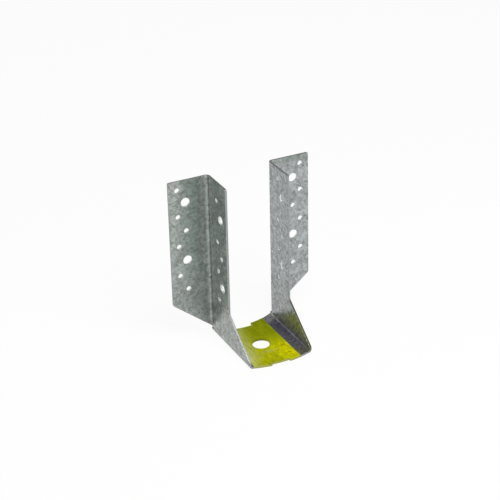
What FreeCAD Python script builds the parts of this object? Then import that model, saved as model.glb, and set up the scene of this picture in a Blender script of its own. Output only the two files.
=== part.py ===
import FreeCAD, Part
import math
import os
import Sketcher
from FreeCAD import Vector

# Joist hanger: one folded sheet of galvanised steel and the film on its seat, in millimetres.
# +Z is up. The joist lies along Y between the two cheeks and comes in from the front, -Y.
# Each body is drawn with the header plane, which the flanges' back faces lie in, at y = 0,
# and with the seat's underside at z = 0 and the middle of the joist at x = 0.
# Its placement then puts the origin under the middle of the hanger's box.

SIZES = [
    # The folded sheet
    ("sheet_thickness", 2.0, "thickness of the sheet"),
    ("bend_radius", 2.0, "inside radius of each fold"),
    ("joist_gap", 60.0, "clear width between the cheeks"),
    ("side_height", 163.0, "seat's underside to the top edge"),
    ("seat_depth", 84.2, "header plane to the seat's front tips"),
    # Outline of a cheek, seen from the side
    ("cheek_depth", 38.5, "header plane to the upright front edge"),
    ("flare_top", 36.5, "height at which the front edge starts to slant"),
    ("flare_foot", 6.0, "height at which the slanted edge ends"),
    ("foot_inset", 4.2, "front tips to the foot of the slanted edge"),
    ("heel_inset", 0.4, "header plane to the cheek's heel"),
    ("heel_rise", 0.6, "height of the heel above the lower fold"),
    # Outline of a header flange, seen from the front
    ("flange_width", 39.0, "cheek's outer face to the flange's outer edge"),
    ("fold_relief", 0.4, "gap between the heel and the flange's slanted edge"),
    ("flange_tip", 38.0, "height of the slanted edge at the flange's outer edge"),
    # Outline of the seat, seen from above
    ("front_recess_width", 18.3, "width of the shallow recess in the front edge"),
    ("front_recess_depth", 2.2, "depth of that recess"),
    ("front_recess_offset", 1.5, "how far its middle lies left of the seat's"),
    ("back_recess_width", 16.2, "width of the shallow recess in the back edge"),
    ("back_recess_depth", 4.4, "depth of that recess"),
    ("back_recess_offset", 3.0, "how far its middle lies left of the seat's"),
    ("back_edge_inset", 7.6, "header plane to the back edge beside its recess"),
    ("seat_hole_diameter", 18.2, "diameter of the round hole in the seat"),
    ("seat_hole_inset", 37.2, "front tips to the hole's centre"),
    ("seat_hole_offset", 3.0, "how far the hole's centre lies left of the middle"),
    # Punched holes
    ("nail_diameter", 5.0, "diameter of a nail hole"),
    ("bolt_diameter", 9.0, "diameter of a bolt hole"),
    ("hole_pitch", 30.0, "pitch along a column of holes"),
    ("flange_outer_margin", 8.7, "flange's outer edge to its outer column of holes"),
    ("flange_inner_margin", 16.4, "flange's outer edge to its inner column of holes"),
    ("flange_first_hole", 52.5, "height of the lowest hole in a flange"),
    ("flange_bolt_drop", 22.0, "top edge to a flange's upper bolt hole"),
    ("flange_nail_drop", 9.0, "top edge to a flange's top nail hole"),
    ("cheek_front_margin", 11.4, "cheek's front edge to its front column of holes"),
    ("cheek_back_margin", 18.8, "cheek's front edge to its back column of holes"),
    ("cheek_first_hole", 43.4, "height of the lowest hole in the left cheek"),
    ("cheek_bolt_drop", 35.0, "top edge to the left cheek's upper bolt hole"),
    ("cheek_nail_drop", 18.0, "top edge to the left cheek's top nail hole"),
    ("cheek_stagger", 7.3, "how much higher the right cheek's holes lie"),
    # Rounded corners of the outline
    ("top_corner_radius", 1.5, "corners along the top edge"),
    ("flare_corner_radius", 2.0, "hollow corner above the slanted front edge"),
    ("bevel_corner_radius", 3.0, "corners at the ends of the slanted edges"),
    # Film on the seat
    ("film_thickness", 0.15, "thickness of the film"),
    ("film_margin", 0.4, "left fold to the film's left edge"),
    ("bare_strip", 11.0, "film's right edge to the right cheek's inner face"),
]
REGULAR_NAILS = 3
INNER_FLANGE_NAILS = 2
WASTE = 5.0
TOLERANCE = 0.01


class Size:
    """A length with the expression that gives it from the sheet, so that sums of sizes stay bound."""

    def __init__(self, number, text):
        self.number = number
        self.text = text

    def joined(self, other, sign, number):
        text = other.text if isinstance(other, Size) else repr(other)
        return Size(number, "(%s %s %s)" % (self.text, sign, text))

    def __add__(self, other):
        return self.joined(other, "+", self.number + plain(other))

    def __sub__(self, other):
        return self.joined(other, "-", self.number - plain(other))

    def __mul__(self, other):
        return self.joined(other, "*", self.number * plain(other))

    def __truediv__(self, other):
        return self.joined(other, "/", self.number / plain(other))

    def __neg__(self):
        return Size(-self.number, "(-1 * %s)" % self.text)


class Found:
    """A coordinate that the sketch works out by itself, with a first guess."""

    def __init__(self, guess):
        self.number = guess


def plain(length):
    """The number of a size, a found coordinate or a bare number."""
    return length.number if isinstance(length, (Size, Found)) else length


doc = FreeCAD.newDocument("joist_hanger")
sheet = doc.addObject("Spreadsheet::Sheet", "sizes")
s = {}
for row, (alias, number, note) in enumerate(SIZES, start=1):
    sheet.set("A%d" % row, note)
    sheet.set("B%d" % row, str(number))
    sheet.setAlias("B%d" % row, alias)
    s[alias] = Size(number, "sizes." + alias)
doc.recompute()

# Places that several features share
inner_face = s["joist_gap"] / 2
outer_face = inner_face + s["sheet_thickness"]
flat_edge = inner_face - s["bend_radius"]
fold_width = s["bend_radius"] + s["sheet_thickness"]
flange_start = outer_face + s["bend_radius"]
flange_edge = outer_face + s["flange_width"]
heel_top = fold_width + s["heel_rise"]
flange_root = heel_top + s["fold_relief"]
front_recess_left = -(s["front_recess_width"] / 2 + s["front_recess_offset"])
front_recess_right = s["front_recess_width"] / 2 - s["front_recess_offset"]
back_recess_left = -(s["back_recess_width"] / 2 + s["back_recess_offset"])
back_recess_right = s["back_recess_width"] / 2 - s["back_recess_offset"]
waste_side = outer_face + WASTE
waste_top = s["side_height"] + WASTE
waste_front = -(s["seat_depth"] + WASTE)


def origin_plane(body, role):
    """One of a body's own three origin planes."""
    return [item for item in body.Origin.OriginFeatures if item.Role == role][0]


class Outline:
    """A sketch on one of a body's origin planes, with its points held by sizes."""

    # Sketcher's numbers for its origin, its two axes and the points of an edge
    ROOT = (-1, 1)
    X_AXIS, Y_AXIS = -1, -2
    START, END, CENTRE = 1, 2, 3

    def __init__(self, body, name, plane, lift=None):
        self.sketch = body.newObject("Sketcher::SketchObject", name)
        self.sketch.AttachmentSupport = [(origin_plane(body, plane), "")]
        self.sketch.MapMode = "FlatFace"
        if lift is not None:
            self.sketch.setExpression("AttachmentOffset.Base.z", lift.text)
        self.held = 0

    def hold(self, constraint, size):
        """Add a constraint whose value follows a size."""
        index = self.sketch.addConstraint(constraint)
        self.held += 1
        name = "held_%d" % self.held
        self.sketch.renameConstraint(index, name)
        self.sketch.setExpression("Constraints." + name, size.text)

    def place(self, edge, point, x, y):
        """Hold a point of an edge: sizes are dimensions, 0 is the axis, and Found is left free."""
        for kind, axis, length in (("DistanceX", self.Y_AXIS, x), ("DistanceY", self.X_AXIS, y)):
            if isinstance(length, Size):
                self.hold(Sketcher.Constraint(kind, *self.ROOT, edge, point, length.number), length)
            elif not isinstance(length, Found):
                self.sketch.addConstraint(Sketcher.Constraint("PointOnObject", edge, point, axis))

    def edge(self, here, there, centre):
        """Add a line, or the short arc about a centre, and say which of its points lies here and there."""
        first, last = [Vector(plain(x), plain(y), 0) for x, y in (here, there)]
        if centre is None:
            return self.sketch.addGeometry(Part.LineSegment(first, last), False), self.START, self.END
        middle = Vector(plain(centre[0]), plain(centre[1]), 0)
        left_turn = (first - middle).cross(last - middle).z > 0
        ends = [first - middle, last - middle] if left_turn else [last - middle, first - middle]
        low, high = [math.atan2(arm.y, arm.x) for arm in ends]
        if high < low:
            high += 2 * math.pi
        circle = Part.Circle(middle, Vector(0, 0, 1), (first - middle).Length)
        index = self.sketch.addGeometry(Part.ArcOfCircle(circle, low, high), False)
        self.place(index, self.CENTRE, *centre)
        return (index, self.START, self.END) if left_turn else (index, self.END, self.START)

    def loop(self, corners):
        """Close a loop. A corner is (x, y), or (x, y, centre) where the edge that leaves it is an arc."""
        edges = []
        for index, corner in enumerate(corners):
            there = corners[(index + 1) % len(corners)]
            edges.append(self.edge(corner[:2], there[:2], corner[2] if len(corner) == 3 else None))
        for index, corner in enumerate(corners):
            edge, first, _ = edges[index]
            before, _, last = edges[index - 1]
            self.sketch.addConstraint(Sketcher.Constraint("Coincident", before, last, edge, first))
            self.place(edge, first, *corner[:2])

    def circle(self, x, y, diameter):
        """Add a circle with its centre and diameter held."""
        middle = Vector(plain(x), plain(y), 0)
        index = self.sketch.addGeometry(Part.Circle(middle, Vector(0, 0, 1), diameter.number / 2), False)
        self.place(index, self.CENTRE, x, y)
        self.hold(Sketcher.Constraint("Diameter", index, diameter.number), diameter)


def new_body(name):
    """Start a body whose placement puts the origin under the middle of the hanger's box."""
    body = doc.addObject("PartDesign::Body", name)
    body.Label = name
    body.setExpression("Placement.Base.y", (s["seat_depth"] / 2).text)
    return body


def pad(body, name, outline, length):
    """Raise a sketch along its plane's normal."""
    feature = body.newObject("PartDesign::Pad", name)
    feature.Profile = outline.sketch
    feature.setExpression("Length", length.text)
    doc.recompute()
    return feature


def punch(body, name, outline, along_normal):
    """Cut a sketch right through everything on one side of its plane, and check that it has cut."""
    before = body.Shape.Volume
    feature = body.newObject("PartDesign::Pocket", name)
    feature.Profile = outline.sketch
    feature.Type = "ThroughAll"
    feature.Reversed = along_normal
    doc.recompute()
    if not body.Shape.Volume < before - TOLERANCE:
        raise RuntimeError(name + " cuts nothing")
    return feature


def repeat_upwards(body, feature, count, pitch):
    """Repeat a cut up a column, and make the pattern the body's tip."""
    pattern = body.newObject("PartDesign::LinearPattern", feature.Name + "_column")
    pattern.Originals = [feature]
    pattern.Direction = (feature.Profile[0], ["V_Axis"])
    pattern.setExpression("Length", (pitch * (count - 1)).text)
    pattern.Occurrences = count
    body.Tip = pattern
    doc.recompute()


def round_corners(body, name, radius, corners):
    """Round the edges whose middles lie at the given corners."""
    spots = [Vector(*(plain(length) for length in corner)) for corner in corners]
    base = body.Tip
    names = ["Edge%d" % (index + 1) for index, edge in enumerate(base.Shape.Edges)
             if any(edge.CenterOfMass.distanceToPoint(spot) < TOLERANCE for spot in spots)]
    if len(names) != len(corners):
        raise RuntimeError("%s finds %d of %d corners" % (name, len(names), len(corners)))
    fillet = body.newObject("PartDesign::Fillet", name)
    fillet.Base = (base, names)
    fillet.setExpression("Radius", radius.text)
    doc.recompute()


def arc_centre(near, far):
    """Height of the point on the Y axis that lies as far from one point as from the other."""
    (x1, y1), (x2, y2) = near, far
    return (x2 * x2 - x1 * x1 + y2 * y2 - y1 * y1) / ((y2 - y1) * 2)


def arc_height(x, centre, point):
    """First guess of where an arc about (0, centre) that passes through a point crosses x, in front."""
    radius = math.hypot(point[0].number, point[1].number - centre.number)
    return Found(centre.number - math.sqrt(radius ** 2 - plain(x) ** 2))


# The seat's front and back edges are shallow arcs about points on the joist's middle line.
# A recess in each edge has a floor that follows the same bow, and ends at the edge's tip.
foot = -(s["seat_depth"] - s["foot_inset"])
front_tip = (front_recess_right, -s["seat_depth"])
front_floor = (front_recess_right, front_tip[1] + s["front_recess_depth"])
front_centre = arc_centre(front_tip, (flat_edge, foot))
back_tip = (back_recess_right, -s["back_edge_inset"])
back_floor = (back_recess_right, back_tip[1] - s["back_recess_depth"])
back_centre = arc_centre(back_tip, (flat_edge, -s["heel_inset"]))


def half_seat_edge(tip, side, centre):
    """Corners of half an edge of the seat, from its middle out past the fold."""
    return [
        (0, arc_height(0, centre, tip), (0, centre)),
        (flat_edge, side),
        (waste_side, side),
    ]


def seat_recess(body, name, floor, left, centre, waste):
    """Cut a shallow recess out of an edge of the seat, from its floor out to the waste."""
    recess = Outline(body, name + "_plan", "XY_Plane")
    recess.loop([
        (left, arc_height(left, centre, floor), (0, centre)),
        floor,
        (floor[0], waste),
        (left, waste),
    ])
    punch(body, name, recess, True)


# Right half of the folded sheet: the channel of seat and cheek, trimmed to its outlines
hanger = new_body("hanger")
channel = Outline(hanger, "channel_section", "XZ_Plane")
channel.loop([
    (0, 0),
    (flat_edge, 0, (flat_edge, Found(fold_width.number))),
    (outer_face, fold_width),
    (outer_face, s["side_height"]),
    (inner_face, s["side_height"]),
    (inner_face, fold_width, (flat_edge, Found(fold_width.number))),
    (flat_edge, s["sheet_thickness"]),
    (0, s["sheet_thickness"]),
])
pad(hanger, "channel", channel, s["seat_depth"] + WASTE)

plan = Outline(hanger, "seat_plan", "XY_Plane")
plan.loop(half_seat_edge(front_tip, foot, front_centre)
          + [(waste_side, waste_front - WASTE), (0, waste_front - WASTE)])
plan.loop(half_seat_edge(back_tip, -s["heel_inset"], back_centre)
          + [(waste_side, s["bend_radius"]), (0, s["bend_radius"])])
punch(hanger, "seat_edges", plan, True)

profile = Outline(hanger, "cheek_profile", "YZ_Plane")
profile.loop([
    (-s["cheek_depth"], waste_top),
    (-s["cheek_depth"], s["flare_top"]),
    (foot, s["flare_foot"]),
    (waste_front - WASTE, s["flare_foot"]),
    (waste_front - WASTE, waste_top),
])
profile.loop([
    (-fold_width, heel_top),
    (s["bend_radius"], heel_top),
    (s["bend_radius"], waste_top),
    (-fold_width, waste_top),
])
punch(hanger, "cheek_edges", profile, True)

# The header flange, folded outwards from the cheek's back edge and cut to its slanted lower edge
angle = Outline(hanger, "flange_section", "XY_Plane", heel_top)
angle.loop([
    (inner_face, -fold_width, (flange_start, Found(-fold_width.number))),
    (flange_start, 0),
    (flange_edge, 0),
    (flange_edge, -s["sheet_thickness"]),
    (flange_start, -s["sheet_thickness"], (flange_start, Found(-fold_width.number))),
    (outer_face, -fold_width),
])
pad(hanger, "flange", angle, s["side_height"] - heel_top)

bevel = Outline(hanger, "flange_bevel", "XZ_Plane")
bevel.loop([
    (inner_face, heel_top),
    (inner_face, flange_root),
    (flange_edge, s["flange_tip"]),
    (flange_edge + WASTE, s["flange_tip"]),
    (flange_edge + WASTE, heel_top),
])
slant = hanger.newObject("PartDesign::Pocket", "flange_slant")
slant.Profile = bevel.sketch
slant.Reversed = True
slant.setExpression("Length", fold_width.text)
doc.recompute()

# Holes that both flanges share
outer_column = flange_edge - s["flange_outer_margin"]
inner_column = flange_edge - s["flange_inner_margin"]
flange_second_hole = s["flange_first_hole"] + s["hole_pitch"] / 2
outer_nails = Outline(hanger, "flange_outer_nail", "XZ_Plane")
outer_nails.circle(outer_column, flange_second_hole, s["nail_diameter"])
repeat_upwards(hanger, punch(hanger, "outer_nail", outer_nails, True), REGULAR_NAILS, s["hole_pitch"])

inner_nails = Outline(hanger, "flange_inner_nail", "XZ_Plane")
inner_nails.circle(inner_column, s["flange_first_hole"], s["nail_diameter"])
repeat_upwards(hanger, punch(hanger, "inner_nail", inner_nails, True), INNER_FLANGE_NAILS, s["hole_pitch"] * 2)

flange_bolts = Outline(hanger, "flange_bolts", "XZ_Plane")
flange_bolts.circle(inner_column, s["flange_first_hole"] + s["hole_pitch"], s["bolt_diameter"])
flange_bolts.circle(inner_column, s["side_height"] - s["flange_bolt_drop"], s["bolt_diameter"])
flange_bolts.circle(outer_column, s["side_height"] - s["flange_nail_drop"], s["nail_diameter"])
punch(hanger, "flange_top_and_bolts", flange_bolts, True)

# Rounded corners of the outline, each found by the middle of its edge across the sheet
cheek_middle = inner_face + s["sheet_thickness"] / 2
flange_middle = -s["sheet_thickness"] / 2
round_corners(hanger, "top_corners", s["top_corner_radius"], [
    (flange_edge, flange_middle, s["side_height"]),
    (cheek_middle, -s["cheek_depth"], s["side_height"]),
])
round_corners(hanger, "flare_corner", s["flare_corner_radius"], [
    (cheek_middle, -s["cheek_depth"], s["flare_top"]),
])
round_corners(hanger, "bevel_corners", s["bevel_corner_radius"], [
    (flange_edge, flange_middle, s["flange_tip"]),
    (cheek_middle, foot, s["flare_foot"]),
])

# The left half is the mirror image of what is made so far
half_volume = hanger.Shape.Volume
both_sides = hanger.newObject("PartDesign::Mirrored", "both_sides")
both_sides.TransformMode = "Whole shape"
both_sides.MirrorPlane = (origin_plane(hanger, "YZ_Plane"), [""])
hanger.Tip = both_sides
doc.recompute()
if abs(hanger.Shape.Volume - 2 * half_volume) > TOLERANCE:
    raise RuntimeError("the mirrored half is missing")


def cheek_holes(side, first, top, along_normal):
    """Punch one cheek's two staggered columns, up from the first hole's height and down from the top."""
    front_column = -(s["cheek_depth"] - s["cheek_front_margin"])
    back_column = -(s["cheek_depth"] - s["cheek_back_margin"])

    nails = Outline(hanger, side + "_cheek_nail", "YZ_Plane")
    nails.circle(back_column, first, s["nail_diameter"])
    nail = punch(hanger, side + "_nail", nails, along_normal)
    repeat_upwards(hanger, nail, REGULAR_NAILS, s["hole_pitch"])

    others = Outline(hanger, side + "_cheek_bolts", "YZ_Plane")
    others.circle(front_column, first + s["hole_pitch"] / 2, s["bolt_diameter"])
    others.circle(front_column, first + s["hole_pitch"] * 1.5, s["nail_diameter"])
    others.circle(front_column, top - s["cheek_bolt_drop"], s["bolt_diameter"])
    others.circle(back_column, top - s["cheek_nail_drop"], s["nail_diameter"])
    punch(hanger, side + "_top_and_bolts", others, along_normal)


# The right cheek's holes lie higher, so that nails from the two sides miss each other in the joist
cheek_holes("left", s["cheek_first_hole"], s["side_height"], False)
cheek_holes("right", s["cheek_first_hole"] + s["cheek_stagger"], s["side_height"] + s["cheek_stagger"], True)

# The recesses in the seat's edges and its round hole, which the film shares
seat_recess(hanger, "front_recess", front_floor, front_recess_left, front_centre, waste_front)
seat_recess(hanger, "back_recess", back_floor, back_recess_left, back_centre, s["bend_radius"])
hole_place = (-s["seat_hole_offset"], -(s["seat_depth"] - s["seat_hole_inset"]))
seat_hole = Outline(hanger, "seat_hole_circle", "XY_Plane")
seat_hole.circle(*hole_place, s["seat_hole_diameter"])
punch(hanger, "seat_hole", seat_hole, True)

# The film on the seat ends flush with the seat's front and back edges
film = new_body("seat_label")
film_left = -(flat_edge - s["film_margin"])
film_right = inner_face - s["bare_strip"]
front_middle = (0, front_centre)
back_middle = (0, back_centre)
cover = Outline(film, "film_outline", "XY_Plane", s["sheet_thickness"])
cover.loop([
    (film_left, arc_height(film_left, front_centre, front_tip), front_middle),
    front_tip + (front_middle,),
    (film_right, arc_height(film_right, front_centre, front_tip)),
    (film_right, arc_height(film_right, back_centre, back_tip), back_middle),
    back_tip + (back_middle,),
    (film_left, arc_height(film_left, back_centre, back_tip)),
])
cover.circle(*hole_place, s["seat_hole_diameter"])
pad(film, "film", cover, s["film_thickness"])
seat_recess(film, "film_front_recess", front_floor, front_recess_left, front_centre, waste_front)
seat_recess(film, "film_back_recess", back_floor, back_recess_left, back_centre, s["bend_radius"])

# Every object has to be in order before anything is written
doc.recompute()
for item in doc.Objects:
    if "Invalid" in item.State or "Error" in item.State:
        raise RuntimeError("%s is %s" % (item.Name, item.State))
    if item.TypeId == "Sketcher::SketchObject" and item.solve() != 0:
        raise RuntimeError(item.Name + " can't be solved")
pieces = [hanger, film]
for piece in pieces:
    shape = piece.Shape
    if shape.isNull() or not shape.isValid() or len(shape.Solids) != 1:
        raise RuntimeError(piece.Label + " isn't one sound solid")

os.makedirs("parts", exist_ok=True)
for piece in pieces:
    piece.Shape.exportStep("parts/%s.step" % piece.Label)
    print(piece.Label, piece.Shape.BoundBox, "volume", round(piece.Shape.Volume, 1))
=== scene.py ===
import math

import bmesh
import bpy
from bpy.props import FloatProperty, FloatVectorProperty, IntProperty, PointerProperty
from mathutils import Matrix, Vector


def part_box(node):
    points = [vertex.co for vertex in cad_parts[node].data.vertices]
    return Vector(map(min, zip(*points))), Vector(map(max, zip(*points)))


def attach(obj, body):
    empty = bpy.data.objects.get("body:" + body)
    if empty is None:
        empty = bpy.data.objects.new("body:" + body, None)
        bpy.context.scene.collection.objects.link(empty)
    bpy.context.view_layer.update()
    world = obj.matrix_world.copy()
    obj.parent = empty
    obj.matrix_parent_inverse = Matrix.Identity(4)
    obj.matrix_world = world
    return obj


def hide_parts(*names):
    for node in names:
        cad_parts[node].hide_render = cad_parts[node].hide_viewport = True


bl_info = {
    "name": "Joist hanger",
    "version": (1, 0, 0),
    "blender": (4, 5, 0),
    "location": "3D View > Sidebar > Hanger",
    "description": "Dresses a folded joist hanger: its galvanised sheet, the film on its seat and a stage",
    "category": "Object",
}

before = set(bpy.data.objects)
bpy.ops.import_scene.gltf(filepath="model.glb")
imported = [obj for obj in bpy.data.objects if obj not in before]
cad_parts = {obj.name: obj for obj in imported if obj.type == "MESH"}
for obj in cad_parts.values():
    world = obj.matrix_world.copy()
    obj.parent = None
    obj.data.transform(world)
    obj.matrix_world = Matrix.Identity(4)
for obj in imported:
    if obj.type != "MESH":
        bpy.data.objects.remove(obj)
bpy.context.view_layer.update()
BODY = "root"
MM = 0.001

# Where the solids of the sheet and the film lie, in millimetres
SHEET = 2.0
BEND = 2.0
CHEEK_INNER = 30.0
CHEEK_OUTER = CHEEK_INNER + SHEET
SEAT_FLAT = CHEEK_INNER - BEND
SEAT_FOLD_Z = BEND + SHEET
HEEL_TOP = 4.8
FLANGE_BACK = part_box("hanger")[1].y / MM
FLANGE_FRONT = FLANGE_BACK - SHEET
FLANGE_FOLD_X = CHEEK_OUTER + BEND
FLANGE_FOLD_Y = FLANGE_FRONT - BEND
SEAT_HOLE = (-3.0, -4.9)
SEAT_HOLE_RADIUS = 9.1
RIM_MARGIN = 0.2
FILM_LEFT, FILM_RIGHT = (corner.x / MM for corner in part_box("seat_label"))

# Share of the sheet's thickness that a face spans at least where it runs through the sheet
SKIN_TOLERANCE = 0.3

# How the solid's triangles are merged, in millimetres and degrees, and which edges are rounded, in degrees
WELD = 0.002
FLAT_ANGLE = 0.4
SHARP_ANGLE = 40.0

# Sides of a burr's ring, and the seed of its uneven height
BURR_SIDES = 6
BURR_SEED = 7

# The soft lamp, in metres
LAMP_SIZE = 0.9
LAMP_PLACE = (0.10, -0.70, 1.15)
LAMP_AIM = (0.0, 0.0, 0.06)

# The camera's sensor, in millimetres
SENSOR_WIDTH = 36


# Settings


def tint(name, description, colour):
    """A setting that holds a colour."""
    return FloatVectorProperty(name=name, description=description, subtype="COLOR", default=colour,
                               min=0, max=1)


def share(name, description, default, least=0, most=1):
    """A setting that holds a share of one."""
    return FloatProperty(name=name, description=description, subtype="FACTOR", default=default,
                         min=least, max=most)


def length(name, description, millimetres, least, most):
    """A setting that holds a length, given here in millimetres."""
    return FloatProperty(name=name, description=description, unit="LENGTH", default=millimetres * MM,
                         min=least * MM, max=most * MM)


def turn(name, description, degrees):
    """A setting that holds an angle, given here in degrees."""
    return FloatProperty(name=name, description=description, unit="ROTATION", default=math.radians(degrees))


class SheetFinish(bpy.types.PropertyGroup):
    zinc: tint("Zinc", "Colour of the zinc coat", (0.366, 0.398, 0.377))
    zinc_cool: tint("Cool zinc", "Colour of the cooler patches of the coat", (0.370, 0.391, 0.393))
    # Painted shade beside the left fold, where the cheek hides the flange; also the darker top of the right
    # flange
    darker_zinc: tint("Stained zinc", "Colour of the stain beside the left fold", (0.255, 0.298, 0.270))
    # Painted reflection of the yellow film on the right flare
    olive: tint("Olive zinc", "Colour of the right flare, where the film glows on it", (0.475, 0.500, 0.340))
    strip_middle: tint("Bare strip", "Colour of the bare strip of the seat", (0.335, 0.318, 0.43))
    # Painted highlight at the back end of the bare strip, where its fold catches the light
    strip_back_highlight: tint("Back of the strip", "Colour of the bare strip's lighter back end", (0.84, 0.84, 0.86))
    strip_front: tint("Front of the strip", "Colour of the bare strip's front end", (0.36, 0.35, 0.28))
    cut_steel: tint("Cut steel", "Colour of the bare edges of the outline", (0.36, 0.385, 0.37))
    # Near white: bright steel raised to a painted highlight on the hole walls; also the painted highlight on
    # the left fold
    punched: tint("Punched steel", "Colour of the bright walls of the punched holes", (0.90, 0.92, 0.93))
    # Painted glow of the film on the seat's cut edge under it
    film_glow: tint("Glow of the film", "Colour of the seat's edge under the film", (0.42, 0.42, 0.05))
    shaded: tint("Shaded steel", "Colour of the right flare's edge and the seat's hole", (0.15, 0.15, 0.09))
    metallic: share("Bright metal", "Share of the zinc that isn't dulled to a pale bloom", 0.80)
    bare_metallic: share("Bright cut", "Share of a torn edge that mirrors its surroundings", 0.5)
    roughness: share("Roughness", "Middle roughness of the zinc coat", 0.34)
    contrast: share("Crystal contrast", "How far the crystals differ in shade", 0.60)
    spangle: length("Spangle", "Size of a zinc crystal", 2.5, 0.5, 20)
    tilt: share("Crystal tilt", "How far the crystals lean from the sheet", 0.05, most=0.5)
    lean: share("Edge lean", "How far the torn edges lean towards the outer skin", 0.25)
    edge: length("Edge radius", "Rounding of the punched edges", 0.22, 0.02, 0.8)
    edge_steps: IntProperty(name="Edge steps", description="Faces across a rounded edge", default=2,
                            min=1, max=6)
    burr: length("Burr", "Radius of the burr round a hole", 0.2, 0.02, 0.5)
    burr_least: share("Least burr", "Share of the burr's radius where it is lowest", 0.6, least=0.1)


class FilmFinish(bpy.types.PropertyGroup):
    colour: tint("Film", "Colour of the film", (0.56, 0.585, 0.0))
    # Painted light at the film's bright front corner
    lit_corner: tint("Fresh film", "Colour at the brightest corner", (0.78, 0.77, 0.0))
    # Painted shade over the back half of the film
    shaded_back: tint("Worn film", "Colour of the duller, olive back half", (0.335, 0.385, 0.0))
    # Painted sheen on the left of the film, also the paler band across its middle
    pale: tint("Rubbed film", "Colour where the film is rubbed pale", (0.68, 0.71, 0.22))
    # Painted reflection beside the left fold
    palest: tint("Palest film", "Colour beside the left fold", (0.76, 0.78, 0.34))
    ink: tint("Faded print", "Colour of what is left of the print", (0.42, 0.22, 0.0))
    roughness: share("Roughness", "Roughness of the film", 0.42)
    hole_share: share("Hole share", "Size of the film's hole beside the seat's", 0.88, least=0.5)
    hole_shift: FloatVectorProperty(name="Hole shift", description="From the seat's hole to the film's",
                                    subtype="TRANSLATION", size=2, default=(-0.9 * MM, -0.5 * MM))


class StageSettings(bpy.types.PropertyGroup):
    floor: tint("Floor", "Colour of the floor", (0.96, 0.96, 0.96))
    floor_size: length("Floor size", "Side of the square floor", 6000, 1000, 20000)
    whiteness: share("Whiteness", "How far the floor shows as pure white", 0.90)
    glow: FloatProperty(name="Glow", description="Brightness of the part of the floor that shows as white",
                        default=1.03, min=0)
    fill: FloatProperty(name="Fill", description="Brightness of the surroundings as a light",
                        default=0.9, min=0)
    dim: share("Dim sky", "How much the surroundings dim above the object and behind it", 0.88)
    lamp: FloatProperty(name="Lamp", description="Power of the soft lamp in watts", default=9.0, min=0)
    azimuth: turn("Camera azimuth", "Turn of the camera from the front", -25.963)
    elevation: turn("Camera elevation", "Height of the camera above the level", 27.478)
    roll: turn("Camera roll", "Roll of the camera", -1.3246)
    distance: length("Camera distance", "Camera to the aim point", 1479.296, 100, 10000)
    aim_height: length("Aim height", "Height of the point aimed at", 75, 0, 1000)
    slide_right: length("Slide right", "Camera slid to its right", 9.0641, -1000, 1000)
    slide_up: length("Slide up", "Camera slid upwards", 2.5383, -1000, 1000)
    focal: FloatProperty(name="Focal length", description="Focal length in millimetres on a 36 mm sensor",
                         default=114.155, min=10)


SETTINGS = {"hanger_sheet": SheetFinish, "hanger_film": FilmFinish, "hanger_stage": StageSettings}


# Materials


class Wire:
    """One socket of a material. Arithmetic on it adds Math nodes."""

    def __init__(self, nodes, socket):
        self.nodes = nodes
        self.socket = socket

    def __add__(self, other):
        return self.nodes.math("ADD", self, other)

    __radd__ = __add__

    def __sub__(self, other):
        return self.nodes.math("SUBTRACT", self, other)

    def __rsub__(self, other):
        return self.nodes.math("SUBTRACT", other, self)

    def __mul__(self, other):
        return self.nodes.math("MULTIPLY", self, other)

    __rmul__ = __mul__

    def __truediv__(self, other):
        return self.nodes.math("DIVIDE", self, other)

    def __rtruediv__(self, other):
        return self.nodes.math("DIVIDE", other, self)

    def __abs__(self):
        return self.nodes.math("ABSOLUTE", self)

    def larger(self, other):
        return self.nodes.math("MAXIMUM", self, other)

    def step(self, low, high):
        """0 below low and 1 above high, smooth between them. low may be the larger one."""
        return self.nodes.add("ShaderNodeMapRange", {"interpolation_type": "SMOOTHSTEP"},
                              {"Value": self, "From Min": low, "From Max": high})["Result"]

    def band(self, start, full, still_full, end):
        """1 between the two middle places, and 0 before the first and after the last."""
        return self.step(start, full) * self.step(end, still_full)

    def near(self, place, reach, core):
        """1 within core of a place, and 0 further from it than reach."""
        return abs(self - place).step(reach, core)


def opaque(colour):
    return colour if isinstance(colour, Wire) else (*colour, 1.0)


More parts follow.
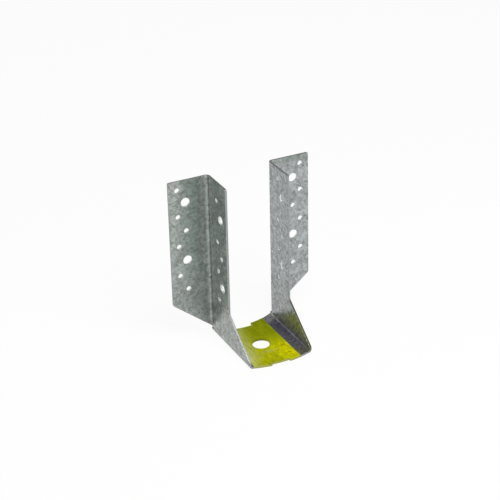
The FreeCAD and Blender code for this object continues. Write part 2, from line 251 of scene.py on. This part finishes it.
class Nodes:
    """Adds nodes to one material or world."""

    def __init__(self, owner):
        owner.use_nodes = True
        self.owner = owner
        self.tree = owner.node_tree
        self.tree.nodes.clear()

    def add(self, kind, settings=None, values=None):
        """Add a node: its settings first, then the values or links of its sockets. Returns its outputs."""
        node = self.tree.nodes.new(kind)
        for name, value in (settings or {}).items():
            setattr(node, name, value)
        for name, value in (values or {}).items():
            if isinstance(value, Wire):
                self.tree.links.new(value.socket, node.inputs[name])
            else:
                node.inputs[name].default_value = value
        return {socket.identifier: Wire(self, socket) for socket in node.outputs}

    def math(self, operation, *values):
        return self.add("ShaderNodeMath", {"operation": operation}, dict(enumerate(values)))["Value"]

    def vector(self, operation, *values):
        return self.add("ShaderNodeVectorMath", {"operation": operation}, dict(enumerate(values)))["Vector"]

    def scaled(self, vector, scale):
        return self.add("ShaderNodeVectorMath", {"operation": "SCALE"}, {0: vector, "Scale": scale})["Vector"]

    def split(self, vector):
        return list(self.add("ShaderNodeSeparateXYZ", None, {0: vector}).values())

    def grey(self, value):
        return self.add("ShaderNodeCombineXYZ", None, {0: value, 1: value, 2: value})["Vector"]

    def place(self):
        return self.add("ShaderNodeTexCoord")["Object"]

    def millimetres(self):
        """The object's x, y and z in millimetres."""
        return self.split(self.scaled(self.place(), 1.0 / MM))

    def attribute(self, name, output="Fac"):
        return self.add("ShaderNodeAttribute", {"attribute_type": "GEOMETRY", "attribute_name": name})[output]

    def noise(self, place, scale, detail=2.0, roughness=0.5, output="Fac"):
        """Noise with the given number of waves to the metre."""
        return self.add("ShaderNodeTexNoise", None,
                        {"Vector": place, "Scale": scale, "Detail": detail, "Roughness": roughness})[output]

    def crystals(self, place, scale):
        """A random colour for each crystal, with the given number of crystals to the metre."""
        return self.add("ShaderNodeTexVoronoi", {"feature": "F1"}, {"Vector": place, "Scale": scale})["Color"]

    def blend(self, factor, first, second, kind="MIX"):
        """Colour mix: first where factor is 0, second where it is 1."""
        return self.add("ShaderNodeMix", {"data_type": "RGBA", "blend_type": kind},
                        {0: factor, 6: opaque(first), 7: opaque(second)})["Result_Color"]

    def toned(self, colour, tone):
        """A colour made lighter or darker by a factor."""
        return self.blend(1.0, colour, self.grey(tone), "MULTIPLY")

    def bump(self, **values):
        return self.add("ShaderNodeBump", None, values)["Normal"]

    def seen_white(self):
        """1 for the camera and in reflections and glass, and 0 for the rays that carry light."""
        path = self.add("ShaderNodeLightPath")
        return path["Is Camera Ray"].larger(path["Is Glossy Ray"]).larger(path["Is Transmission Ray"])

    def finish(self, **values):
        """End in a Principled shader."""
        names = {name.replace("_", " "): value for name, value in values.items()}
        shader = self.add("ShaderNodeBsdfPrincipled", None, names)["BSDF"]
        self.add("ShaderNodeOutputMaterial", None, {"Surface": shader})
        return self.owner


# Waves of the sheet's patterns to the metre
COOL_WAVES = 24.0
CLOUD_WAVES = 55.0
WANDER_WAVES = 350.0
PIT_WAVES = 420.0
GRAIN_WAVES = 1400.0
FRACTURE_WAVES = 2600.0

# Middle of a pattern's values, small crystals to a large one, and how far patterns wander, in millimetres
MIDDLE = (0.5, 0.5, 0.5)
FROST_TO_SPANGLE = 2.6
BORDER_WANDER = 1.6
PATCH_WANDER = 12.0

# How much cooler the zinc gets with each millimetre to the right
COOL_SLOPE = 0.006

# How far the top of the painted reflection of the film on the right flare falls with each millimetre to the
# back
FILM_REFLECTION_SLOPE = 0.575

# How far each pattern or area makes the zinc lighter or darker
FROST_CONTRAST = 0.28
CLOUD_CONTRAST = 0.35
GRAIN_CONTRAST = 0.06
PIT_SHADE = 0.14
# Painted light beside the pocket, and painted shade on the right cheek, the left flare and the left fold
POCKET_SIDE_LIGHT = 0.07
RIGHT_CHEEK_SHADE = 0.07
LEFT_FLARE_SHADE = 0.08
FOLD_SHADE = 0.30
FOLD_LINE_SHADE = 0.16
TORN_SHADE = 0.85

# How strongly the darker top of the right flange and the painted highlight on the left fold show
TOP_DARKENING = 0.7
FOLD_HIGHLIGHT = 0.22

# Roughness of the bare faces, and how far the patterns change that of the sheet and raise it
CUT_ROUGHNESS = 0.28
TORN_ROUGHNESS = 0.14
HOLE_ROUGHNESS = 0.58
SHEEN_SPREAD = 0.12
GRAIN_RELIEF = 0.15


def right_cheek_inside(x):
    """1 on the inner face of the right cheek."""
    return x.band(SEAT_FLAT, CHEEK_INNER, CHEEK_INNER + 0.6, CHEEK_OUTER - 0.4)


def zinc_tone(n, finish, shade, frost, cloud, grain):
    """Lightness of the coat: crystals, clouds, grain and pits, painted light beside the pocket, and painted
    shade on the right cheek, at the left flare's foot and in and beside the left fold.
    """
    x, y, z = n.millimetres()
    pits = n.noise(n.place(), PIT_WAVES).step(0.60, 0.70)
    tone = 1.0 + finish.contrast * (shade - 0.5) + FROST_CONTRAST * (frost - 0.5)
    tone = tone + CLOUD_CONTRAST * (cloud - 0.5) + GRAIN_CONTRAST * (grain - 0.5) - PIT_SHADE * pits
    # Painted light high beside the pocket, painted shade on the right cheek's inner face and at the foot of
    # the left flare
    beside_pocket = x.band(-50, -42, -31, -28) * z.step(60, 85)
    left_flare = x.band(-34, -33, -31.6, -30.6) * z.step(45, 30)
    tone = tone + POCKET_SIDE_LIGHT * beside_pocket - RIGHT_CHEEK_SHADE * right_cheek_inside(x)
    tone = tone - LEFT_FLARE_SHADE * left_flare
    # Painted shade in the corner of the left fold and in a line beside it
    cheek_side = x.band(-33.8, -33.0, -31.9, -31.5) * y.step(37, 38.2)
    beside_fold = x.near(-36.4, 1.8, 0.6) * z.step(75, 115)
    return tone * (1.0 - FOLD_SHADE * cheek_side - FOLD_LINE_SHADE * beside_fold)


def zinc_colour(n, finish, cloud):
    """Colour of the coat: cool patches, painted shade beside the left fold, a darker right top, painted
    highlight on the left fold, painted film reflection on the right flare, and the bare strip.
    """
    x, y, z = n.millimetres()
    drift = PATCH_WANDER * (cloud - 0.5)
    cool = (n.noise(n.place(), COOL_WAVES) + COOL_SLOPE * x).step(0.35, 0.65)
    colour = n.blend(cool, finish.zinc, finish.zinc_cool)
    # Painted shade on the left flange beside the fold, and the right flange darker at its top
    beside_fold = (x + drift).step(-65, -54) * x.step(-37, -42) * z.step(20, 110)
    under_top = (z + 0.4 * drift).step(155, 160) * x.step(34, 36)
    colour = n.blend(beside_fold.larger(TOP_DARKENING * under_top), colour, finish.darker_zinc)
    # Painted highlight along the left fold, in the punched steel's colour
    fold = x.near(-FLANGE_FOLD_X - 0.3, 1.6, 0.4) * y.step(FLANGE_FOLD_Y, FLANGE_FRONT)
    colour = n.blend(FOLD_HIGHLIGHT * fold, colour, finish.punched)
    # Painted reflection of the yellow film on the lower right cheek
    film_reflection = right_cheek_inside(x) * (z + FILM_REFLECTION_SLOPE * y).step(24, 18) * z.step(3.5, 6)
    colour = n.blend(film_reflection, colour, finish.olive)
    # The bare strip, with a painted highlight at its back end
    strip = n.blend((y + drift).step(19, 37), finish.strip_middle, finish.strip_back_highlight)
    strip = n.blend((y + drift).step(-20, -34), strip, finish.strip_front)
    beside_film = z.near(SHEET, 1.4, 0.4) * x.step(FILM_RIGHT - 1, FILM_RIGHT + 1)
    return n.blend(beside_film, colour, strip)


def edge_colour(n, finish, torn, fracture):
    """Colour of the cut outline: torn steel, a painted glow of the film on the seat's edge under it, and
    painted shade at the right flare.
    """
    x, _, z = n.millimetres()
    torn_steel = tuple(TORN_SHADE * part for part in finish.cut_steel)
    colour = n.blend(torn * (0.25 + 0.5 * fracture), finish.cut_steel, torn_steel)
    # Painted glow of the film on the seat's edge under it, then painted shade at the right flare's edge
    under_film = x.band(FILM_LEFT - 1.2, FILM_LEFT + 0.8, FILM_RIGHT - 0.8, FILM_RIGHT + 1.2)
    colour = n.blend(under_film * z.step(SHEET + 0.2, SHEET - 0.4), colour, finish.film_glow)
    right_flare = x.step(SEAT_FLAT, CHEEK_INNER) * z.step(38, 33)
    return n.blend(right_flare, colour, finish.shaded)


def leaning_normal(n, finish, crystal, cut):
    """Normal that leans with each crystal, and towards the outer skin on the cut edges."""
    normal = n.add("ShaderNodeNewGeometry")["Normal"]
    tilt = n.scaled(n.vector("SUBTRACT", crystal, MIDDLE), finish.tilt)
    lean = n.scaled(n.attribute("outward", "Vector"), cut * finish.lean)
    return n.vector("NORMALIZE", n.vector("ADD", n.vector("ADD", normal, tilt), lean))


def galvanised(finish):
    """Galvanised sheet: zinc crystals that differ in shade, sheen and lean, and bare punched edges."""
    n = Nodes(bpy.data.materials.new("galvanised_sheet"))
    place = n.place()
    wander = n.vector("SUBTRACT", n.noise(place, WANDER_WAVES, output="Color"), MIDDLE)
    bent = n.vector("ADD", place, n.scaled(wander, BORDER_WANDER * MM))
    crystal = n.crystals(bent, 1.0 / finish.spangle)
    shade, sheen, _ = n.split(crystal)
    frost = n.split(n.crystals(bent, FROST_TO_SPANGLE / finish.spangle))[0]
    cloud = n.noise(place, CLOUD_WAVES, 3.0, 0.6)
    grain = n.noise(place, GRAIN_WAVES, 2.0, 0.6)
    fracture = n.noise(place, FRACTURE_WAVES, 3.0, 0.6)
    zinc = n.toned(zinc_colour(n, finish, cloud), zinc_tone(n, finish, shade, frost, cloud, grain))
    cut = n.attribute("cut_edge")
    hole = n.attribute("hole_wall")
    torn = n.attribute("depth").step(0.34, 0.44)
    in_seat = n.millimetres()[2].step(SHEET + 1, SHEET)
    # Painted shade on the walls of the seat's hole, painted highlight on the other hole walls
    wall = n.blend(in_seat, finish.punched, finish.shaded)
    colour = n.blend(cut, n.blend(hole, zinc, wall), edge_colour(n, finish, torn, fracture))
    smooth = finish.roughness + SHEEN_SPREAD * (sheen - 0.5) + SHEEN_SPREAD * (cloud - 0.5)
    ragged = CUT_ROUGHNESS + TORN_ROUGHNESS * torn
    roughness = smooth + cut * (ragged - smooth) + hole * (HOLE_ROUGHNESS - smooth)
    metallic = finish.metallic + cut * (finish.bare_metallic - finish.metallic)
    relief = grain * GRAIN_RELIEF + (cut + hole) * fracture
    leaning = leaning_normal(n, finish, crystal, cut)
    normal = n.bump(Strength=0.25, Distance=0.05 * MM, Height=relief, Normal=leaning)
    return n.finish(Base_Color=colour, Metallic=metallic, Roughness=roughness, Normal=normal)


# Waves of the film's patterns to the metre, the streaks' across the seat, along it and upwards
FILM_CLOUD_WAVES = 60.0
BLOTCH_WAVES = 190.0
RIPPLE_WAVES = 240.0
STREAK_WAVES = (480.0, 85.0, 1.0)

# How far each pattern frays the film's areas, in millimetres
CLOUD_FRAY = 14.0
BLOTCH_FRAY = 16.0
STREAK_FRAY = 16.0

# How far each pattern or area makes the film lighter or darker
STREAK_CONTRAST = 0.9
BLOTCH_CONTRAST = 0.8
RIM_SHADE = 0.4
FRONT_SHADE = 0.13

# The border of the painted sheen on the left: how it slants, and how far it draws back at the front, in
# millimetres
SHEEN_SLANT = 0.18
SHEEN_FRONT = 3.0

# Least share of the painted shade at the back and of the painted sheen on the left
LEAST_SHARE = 0.45

# How strongly the old print and the paler band show, and the film's sheen
PRINT_LEFT = 0.5
PALE_BAND_AMOUNT = 0.4
FILM_SPECULAR = 0.08
FILM_SHEEN_SPREAD = 0.16

# Soft ovals, in millimetres: the middle across and along, and half the size across and along
FADED_PRINT = ((13, -16, 2.8, 1.6), (12, -30, 4.0, 1.1), (15, -34, 3.2, 1.0), (5, -22, 2.4, 1.0),
               (17, -25, 1.6, 0.8))
PALE_BAND_OVAL = (-3, -20, 10, 2.6)
HOLE_RIM = (-3.0, -3.6, 9.4, 9.4)

# Squares of the share of its half size at which a soft oval ends and at which it is full
OVAL_EDGE = (1.4, 0.2)


def soft_oval(x, y, across, along, half_across, half_along):
    """1 in the middle of a soft oval, and 0 outside of it."""
    off_x = (x - across) / half_across
    off_y = (y - along) / half_along
    return (off_x * off_x + off_y * off_y).step(*OVAL_EDGE)


def film_colour(n, finish, x, y, streak, ragged):
    """Colour of the film: painted shade behind, painted light in front, painted sheen on the left and a paler
    band, painted reflection beside the left fold, spots of old print.
    """
    # Painted light at the front right corner
    bright = (x + ragged).step(-2, 14) * (y - ragged).step(-9, -24)
    colour = n.blend(bright, finish.colour, finish.lit_corner)
    # Painted shade over the back half
    back_shade = (y + ragged).step(-12, 10) * (LEAST_SHARE + (1 - LEAST_SHARE) * (x + ragged).step(-16, 0))
    colour = n.blend(back_shade, colour, finish.shaded_back)
    # Painted sheen on the left side, and the paler band across the middle
    sheen_line = x - SHEEN_SLANT * y + SHEEN_FRONT * y.step(-27, -37)
    rubbed = (sheen_line + ragged).step(-6, -21) * (LEAST_SHARE + (1 - LEAST_SHARE) * streak.step(0.3, 0.7))
    band = PALE_BAND_AMOUNT * soft_oval(x + 0.4 * ragged, y + 0.3 * ragged, *PALE_BAND_OVAL) * (0.3 + streak)
    colour = n.blend(rubbed.larger(band), colour, finish.pale)
    # Painted reflection of the left cheek beside the left fold
    beside_fold = (x + 0.3 * ragged).step(-19, -25) * y.near(-11, 21, 11)
    colour = n.blend(beside_fold, colour, finish.palest)
    spots = sum(soft_oval(x + 0.2 * ragged, y + 0.12 * ragged, *oval) for oval in FADED_PRINT)
    return n.blend(PRINT_LEFT * spots, colour, finish.ink)


def yellow_film(finish):
    """Thin yellow film, streaked along the seat and a little darker at its front and round the hole."""
    n = Nodes(bpy.data.materials.new("yellow_film"))
    place = n.place()
    x, y, _ = n.millimetres()
    cloud = n.noise(place, FILM_CLOUD_WAVES, 3.0, 0.6)
    blotch = n.noise(place, BLOTCH_WAVES, 3.0, 0.6)
    streak = n.noise(n.vector("MULTIPLY", place, STREAK_WAVES), 1.0, 3.0, 0.6)
    ragged = CLOUD_FRAY * (cloud - 0.5) + BLOTCH_FRAY * (blotch - 0.5) + STREAK_FRAY * (streak - 0.5)
    front = y.step(-27, -37) * x.near(-8, 18, 8)
    tone = 1.0 + STREAK_CONTRAST * (streak - 0.5) + BLOTCH_CONTRAST * (blotch - 0.5)
    tone = tone - RIM_SHADE * soft_oval(x, y, *HOLE_RIM) - FRONT_SHADE * front
    colour = n.toned(film_colour(n, finish, x, y, streak, ragged), tone)
    normal = n.bump(Strength=0.2, Distance=0.1 * MM, Height=n.noise(place, RIPPLE_WAVES))
    roughness = finish.roughness + FILM_SHEEN_SPREAD * (cloud - 0.5)
    return n.finish(Base_Color=colour, Roughness=roughness, Normal=normal, Specular_IOR_Level=FILM_SPECULAR)


def plain_floor(stage):
    """Pale matt floor, shown as white, that keeps a faint shadow."""
    n = Nodes(bpy.data.materials.new("pale_floor"))
    colour = n.blend(n.noise(n.place(), 9.0) * 0.02, stage.floor, (1.0, 1.0, 1.0))
    matt = n.add("ShaderNodeBsdfDiffuse", None, {"Color": colour})["BSDF"]
    white = n.add("ShaderNodeEmission", None, {"Strength": stage.glow})["Emission"]
    shown = n.add("ShaderNodeMixShader", None, {0: n.seen_white() * stage.whiteness, 1: matt, 2: white})
    n.add("ShaderNodeOutputMaterial", None, {"Surface": shown["Shader"]})
    return n.owner


def white_surroundings(stage):
    """White for the camera, and as a light dimmer behind the object and above it."""
    n = Nodes(bpy.data.worlds.new("surroundings"))
    x, y, z = n.split(n.add("ShaderNodeTexCoord")["Generated"])
    camera = n.add("ShaderNodeLightPath")["Is Camera Ray"]
    aside = x.step(0.3, 0.8)
    behind = y.step(-0.3, 0.4)
    dimmed = (z + 0.2 * aside).step(0.0, 0.3) * (0.5 + 0.5 * aside.larger(behind)) * stage.dim
    light = (1.0 - dimmed) * (stage.fill + n.seen_white() * (1.0 - stage.fill))
    strength = light + camera * (1.0 - light)
    background = n.add("ShaderNodeBackground", None, {"Color": (1.0, 1.0, 1.0, 1.0), "Strength": strength})
    n.add("ShaderNodeOutputWorld", None, {"Surface": background["Background"]})
    return n.owner


# Pieces


def skin_of(point):
    """Depth of a point in the sheet, from 0 on the outer skin to 1 on the inner, and the way to the outer."""
    x, y, z = abs(point.x) / MM, point.y / MM, point.z / MM
    if z < SEAT_FOLD_Z and x < SEAT_FLAT:
        depth, outward = z, Vector((0, 0, -1))
    elif z < SEAT_FOLD_Z:
        outward = Vector((x - SEAT_FLAT, 0, z - SEAT_FOLD_Z))
        depth = BEND + SHEET - outward.length
    elif x > FLANGE_FOLD_X:
        depth, outward = y - FLANGE_FRONT, Vector((0, -1, 0))
    elif y > FLANGE_FOLD_Y and z > HEEL_TOP:
        outward = Vector((FLANGE_FOLD_X - x, FLANGE_FOLD_Y - y, 0))
        depth = outward.length - BEND
    else:
        depth, outward = CHEEK_OUTER - x, Vector((1, 0, 0))
    outward.x = math.copysign(outward.x, point.x * outward.x)
    return min(max(depth / SHEET, 0.0), 1.0), outward.normalized()


def cut_faces(mesh, depths):
    """The faces that run through the sheet: those of its outline, the longest rim, and those of its holes."""
    spans = [[depths[index] for index in face.vertices] for face in mesh.polygons]
    waiting = {index for index, span in enumerate(spans) if max(span) - min(span) > SKIN_TOLERANCE}
    form = bmesh.new()
    form.from_mesh(mesh)
    form.faces.ensure_lookup_table()
    rims = []
    while waiting:
        rim = [waiting.pop()]
        for index in rim:
            near = {face.index for edge in form.faces[index].edges for face in edge.link_faces} & waiting
            waiting -= near
            rim.extend(near)
        rims.append(rim)
    form.free()
    rims.sort(key=len)
    return rims[-1], [index for rim in rims[:-1] for index in rim]


def mark_cut_edges(mesh):
    """Store how deep each point lies in the sheet, the way out, and which faces run through its thickness."""
    skins = [skin_of(vertex.co) for vertex in mesh.vertices]
    depths = [depth for depth, _ in skins]
    ways = [part for _, outward in skins for part in outward]
    mesh.attributes.new("depth", "FLOAT", "POINT").data.foreach_set("value", depths)
    mesh.attributes.new("outward", "FLOAT_VECTOR", "POINT").data.foreach_set("vector", ways)
    for name, faces in zip(("cut_edge", "hole_wall"), cut_faces(mesh, depths)):
        marks = mesh.attributes.new(name, "FLOAT", "FACE")
        for index in faces:
            marks.data[index].value = 1.0


def piece_from(mesh, name, material, slot, *nodes):
    """Make a piece of the object from a mesh, and let it stand for CAD nodes."""
    piece = bpy.data.objects.new(name, mesh)
    bpy.context.scene.collection.objects.link(piece)
    mesh.materials.clear()
    mesh.materials.append(material)
    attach(piece, BODY)
    if nodes:
        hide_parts(*nodes)
    return piece


def welded(node, name):
    """A copy of a CAD node's mesh with its points merged and its flat faces whole."""
    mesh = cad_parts[node].data.copy()
    mesh.name = name
    form = bmesh.new()
    form.from_mesh(mesh)
    bmesh.ops.remove_doubles(form, verts=form.verts, dist=WELD * MM)
    bmesh.ops.dissolve_limit(form, angle_limit=math.radians(FLAT_ANGLE), verts=form.verts, edges=form.edges)
    form.to_mesh(mesh)
    form.free()
    return mesh


def finished_mesh(context, rough):
    """The mesh that an object's modifiers give. The object itself is removed."""
    mesh = bpy.data.meshes.new_from_object(rough.evaluated_get(context.evaluated_depsgraph_get()))
    bpy.data.objects.remove(rough)
    return mesh


class HANGER_OT_folded_sheet(bpy.types.Operator):
    """Make the folded and punched sheet, with its cut edges marked and slightly rounded"""

    bl_idname = "hanger.folded_sheet"
    bl_label = "Folded sheet"

    def execute(self, context):
        finish = context.scene.hanger_sheet
        mesh = welded("hanger", "rough_sheet")
        mesh.polygons.foreach_set("use_smooth", [True] * len(mesh.polygons))
        rough = bpy.data.objects.new("rough_sheet", mesh)
        context.scene.collection.objects.link(rough)
        bevel = rough.modifiers.new("edges", "BEVEL")
        bevel.width = finish.edge
        bevel.segments = finish.edge_steps
        bevel.limit_method = "ANGLE"
        bevel.angle_limit = math.radians(SHARP_ANGLE)
        bevel.use_clamp_overlap = False
        rough.modifiers.new("shading", "WEIGHTED_NORMAL").weight = 100
        finished = finished_mesh(context, rough)
        finished.name = "folded_sheet"
        mark_cut_edges(finished)
        piece_from(finished, "folded_sheet", galvanised(finish), "galvanised_sheet", "hanger")
        return {"FINISHED"}


def outer_rims(mesh):
    """The edges of the holes on the outer skin of the flanges and cheeks, as a mesh of edges alone."""
    depths = [skin_of(vertex.co)[0] for vertex in mesh.vertices]
    _, walls = cut_faces(mesh, depths)
    edges = [key for index in walls for key in mesh.polygons[index].edge_keys
             if all(depths[i] < SKIN_TOLERANCE and mesh.vertices[i].co.z > HEEL_TOP * MM for i in key)]
    used = sorted({i for key in edges for i in key})
    place = {old: new for new, old in enumerate(used)}
    rims = bpy.data.meshes.new("rims")
    rims.from_pydata([mesh.vertices[i].co for i in used], [[place[i] for i in key] for key in edges], [])
    return rims


def burr_tree(material):
    """Geometry Nodes tree that runs a thin, uneven burr along each loop of edges, and its inputs."""
    tree = bpy.data.node_groups.new("burrs", "GeometryNodeTree")
    tree.interface.new_socket("Rims", in_out="INPUT", socket_type="NodeSocketGeometry")
    kinds = {"Radius": "NodeSocketFloat", "Least": "NodeSocketFloat", "Seed": "NodeSocketInt"}
    inputs = {name: tree.interface.new_socket(name, in_out="INPUT", socket_type=kind).identifier
              for name, kind in kinds.items()}
    tree.interface.new_socket("Burrs", in_out="OUTPUT", socket_type="NodeSocketGeometry")

    def add(kind, links, **settings):
        node = tree.nodes.new(kind)
        for name, value in settings.items():
            setattr(node, name, value)
        for name, source in links.items():
            if isinstance(source, bpy.types.NodeSocket):
                tree.links.new(source, node.inputs[name])
            else:
                node.inputs[name].default_value = source
        return next((output for output in node.outputs if output.enabled), None)

    given = tree.nodes.new("NodeGroupInput").outputs
    loops = add("GeometryNodeMeshToCurve", {"Mesh": given["Rims"]})
    between = {2: given["Least"], 3: 1.0, "Seed": given["Seed"]}
    height = add("FunctionNodeRandomValue", between, data_type="FLOAT")
    loops = add("GeometryNodeSetCurveRadius", {"Curve": loops, "Radius": height})
    ring = {"Resolution": BURR_SIDES, "Radius": given["Radius"]}
    profile = add("GeometryNodeCurvePrimitiveCircle", ring, mode="RADIUS")
    burrs = add("GeometryNodeCurveToMesh", {"Curve": loops, "Profile Curve": profile})
    burrs = add("GeometryNodeRealizeInstances", {"Geometry": burrs})
    burrs = add("GeometryNodeSetMaterial", {"Geometry": burrs, "Material": material})
    add("NodeGroupOutput", {"Burrs": burrs})
    return tree, inputs


class HANGER_OT_hole_burrs(bpy.types.Operator):
    """Make the low burr that the punch leaves round each hole of the flanges and cheeks"""

    bl_idname = "hanger.hole_burrs"
    bl_label = "Hole burrs"

    def execute(self, context):
        finish = context.scene.hanger_sheet
        material = bpy.data.materials["galvanised_sheet"]
        rims = bpy.data.objects.new("rims", outer_rims(welded("hanger", "whole_sheet")))
        context.scene.collection.objects.link(rims)
        burrs = rims.modifiers.new("burrs", "NODES")
        burrs.node_group, inputs = burr_tree(material)
        burrs[inputs["Radius"]] = finish.burr
        burrs[inputs["Least"]] = finish.burr_least
        burrs[inputs["Seed"]] = BURR_SEED
        piece_from(finished_mesh(context, rims), "hole_burrs", material, "galvanised_sheet")
        return {"FINISHED"}


class HANGER_OT_seat_film(bpy.types.Operator):
    """Make the film on the seat, whose hole laps a little over the seat's hole"""

    bl_idname = "hanger.seat_film"
    bl_label = "Seat film"

    def execute(self, context):
        finish = context.scene.hanger_film
        mesh = welded("seat_label", "seat_film")
        centre = Vector(SEAT_HOLE) * MM
        for vertex in mesh.vertices:
            out = vertex.co.xy - centre
            if out.length < (SEAT_HOLE_RADIUS + RIM_MARGIN) * MM:
                vertex.co.xy = centre + Vector(finish.hole_shift) + out * finish.hole_share
        piece_from(mesh, "seat_film", yellow_film(finish), "yellow_film", "seat_label")
        return {"FINISHED"}


class HANGER_OT_stage(bpy.types.Operator):
    """Make the pale floor, the white surroundings, the soft lamp and the camera"""

    bl_idname = "hanger.stage"
    bl_label = "Stage"

    def execute(self, context):
        scene = context.scene
        stage = scene.hanger_stage
        half = stage.floor_size / 2
        mesh = bpy.data.meshes.new("floor")
        corners = [(-half, -half, 0), (half, -half, 0), (half, half, 0), (-half, half, 0)]
        mesh.from_pydata(corners, [], [(0, 1, 2, 3)])
        mesh.materials.append(plain_floor(stage))
        floor = bpy.data.objects.new("floor", mesh)
        scene.collection.objects.link(floor)
        scene.world = white_surroundings(stage)
        scene.collection.objects.link(self.lamp(stage))
        scene.camera = self.camera(stage)
        scene.collection.objects.link(scene.camera)
        scene.view_settings.view_transform = "Standard"
        return {"FINISHED"}

    def lamp(self, stage):
        """One wide soft lamp above and in front."""
        light = bpy.data.lights.new("soft_lamp", "AREA")
        light.shape = "DISK"
        light.size = LAMP_SIZE
        light.energy = stage.lamp
        lamp = bpy.data.objects.new("soft_lamp", light)
        lamp.location = LAMP_PLACE
        lamp.rotation_euler = (Vector(LAMP_AIM) - Vector(LAMP_PLACE)).to_track_quat("-Z", "Y").to_euler()
        return lamp

    def camera(self, stage):
        """Camera at the photograph's angle."""
        azimuth, elevation, roll = stage.azimuth, stage.elevation, stage.roll
        level_back = Vector((math.sin(azimuth), -math.cos(azimuth), 0))
        back = level_back * math.cos(elevation) + Vector((0, 0, math.sin(elevation)))
        level_right = (-back).cross(Vector((0, 0, 1))).normalized()
        level_up = level_right.cross(-back)
        place = Vector((0, FLANGE_BACK * MM, stage.aim_height)) + back * stage.distance
        place += level_right * stage.slide_right + level_up * stage.slide_up
        right = math.cos(roll) * level_right + math.sin(roll) * level_up
        up = math.cos(roll) * level_up - math.sin(roll) * level_right
        lens = bpy.data.cameras.new("camera")
        lens.sensor_width = SENSOR_WIDTH
        lens.lens = stage.focal
        camera = bpy.data.objects.new("camera", lens)
        matrix = camera.matrix_world.copy()
        for column, axis in enumerate((right, up, back, place)):
            for row in range(3):
                matrix[row][column] = axis[row]
        camera.matrix_world = matrix
        return camera


OPERATORS = (HANGER_OT_stage, HANGER_OT_folded_sheet, HANGER_OT_hole_burrs, HANGER_OT_seat_film)


class HANGER_PT_panel(bpy.types.Panel):
    """Sizes and colours of the hanger's finish"""

    bl_idname = "HANGER_PT_panel"
    bl_label = "Joist hanger"
    bl_space_type = "VIEW_3D"
    bl_region_type = "UI"
    bl_category = "Hanger"

    def draw(self, context):
        for operator in OPERATORS:
            self.layout.operator(operator.bl_idname)
        for name, group in SETTINGS.items():
            box = self.layout.box()
            for setting in group.__annotations__:
                box.prop(getattr(context.scene, name), setting)


CLASSES = (*SETTINGS.values(), *OPERATORS, HANGER_PT_panel)


def register():
    for item in CLASSES:
        bpy.utils.register_class(item)
    for name, group in SETTINGS.items():
        setattr(bpy.types.Scene, name, PointerProperty(type=group))


def unregister():
    for name in SETTINGS:
        delattr(bpy.types.Scene, name)
    for item in reversed(CLASSES):
        bpy.utils.unregister_class(item)


def main():
    register()
    bpy.ops.hanger.stage()
    bpy.ops.hanger.folded_sheet()
    bpy.ops.hanger.hole_burrs()
    bpy.ops.hanger.seat_film()


if __name__ == "__main__":
    main()
